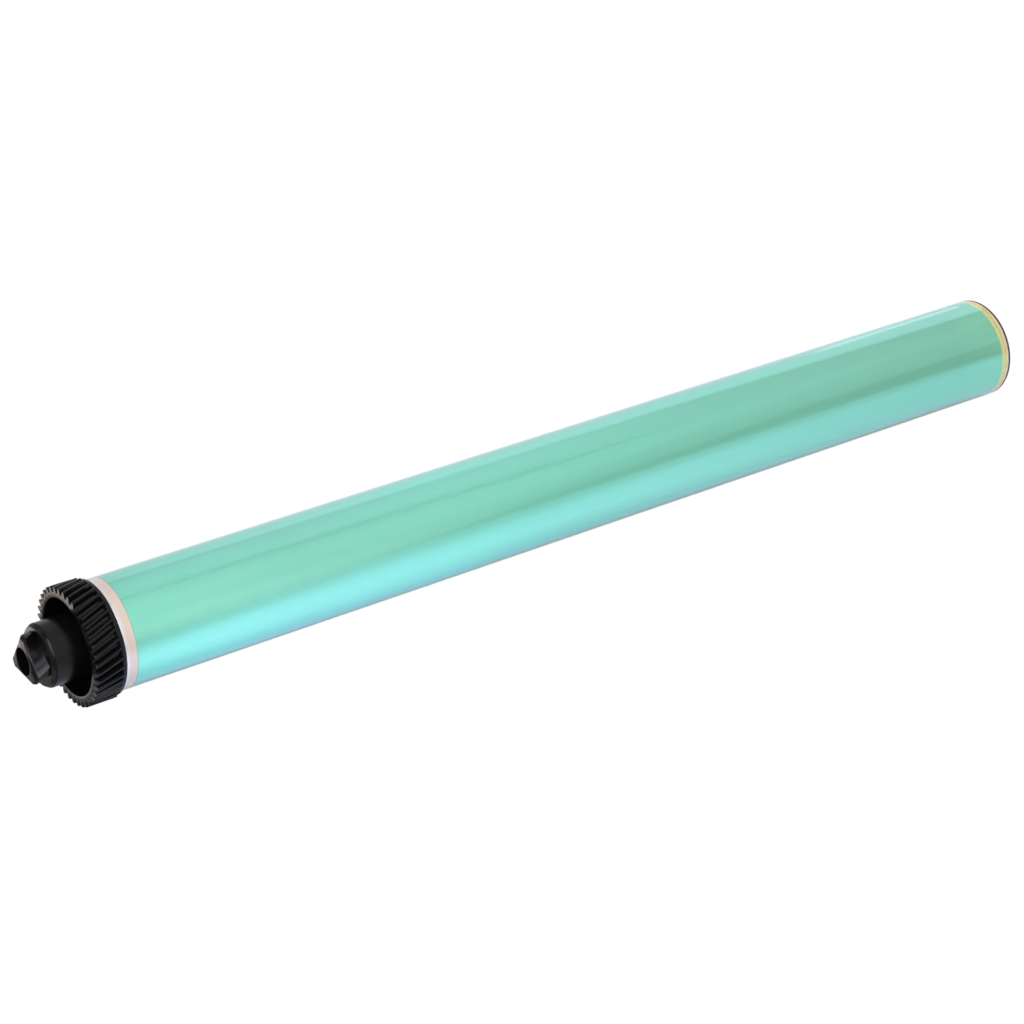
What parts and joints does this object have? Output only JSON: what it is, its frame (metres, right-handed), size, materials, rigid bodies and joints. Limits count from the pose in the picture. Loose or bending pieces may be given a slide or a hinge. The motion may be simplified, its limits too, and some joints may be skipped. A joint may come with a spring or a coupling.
{
  "type": "printer drum unit",
  "caption": "Photoconductor drum: coated aluminium tube with a helical drive gear and twisted three-sided coupling at one end and a plain hub at the other.",
  "frame": {"origin": "middle of the hub flange's outer face, on which the drum stands", "axes": "+Z along the drum's axis, from the hub flange to the drive gear and coupling; +X and +Y are across the axis"},
  "size_m": [0.026, 0.026, 0.2633],
  "materials": {
    "bare_aluminium": "diamond-turned, bright",
    "undercoat_resin": "satin",
    "photoconductor_resin": "gloss",
    "black_acetal": "moulded gloss",
    "black_polycarbonate": "moulded satin",
    "phosphor_bronze": "rolled strip"
  },
  "bodies": {
    "root": {"drum_tube": "bare_aluminium", "undercoat": "undercoat_resin", "photoconductor_coat": "photoconductor_resin", "drive_flange": "black_acetal", "hub_flange": "black_polycarbonate", "earth_contact": "phosphor_bronze"}
  },
  "joints": []
}
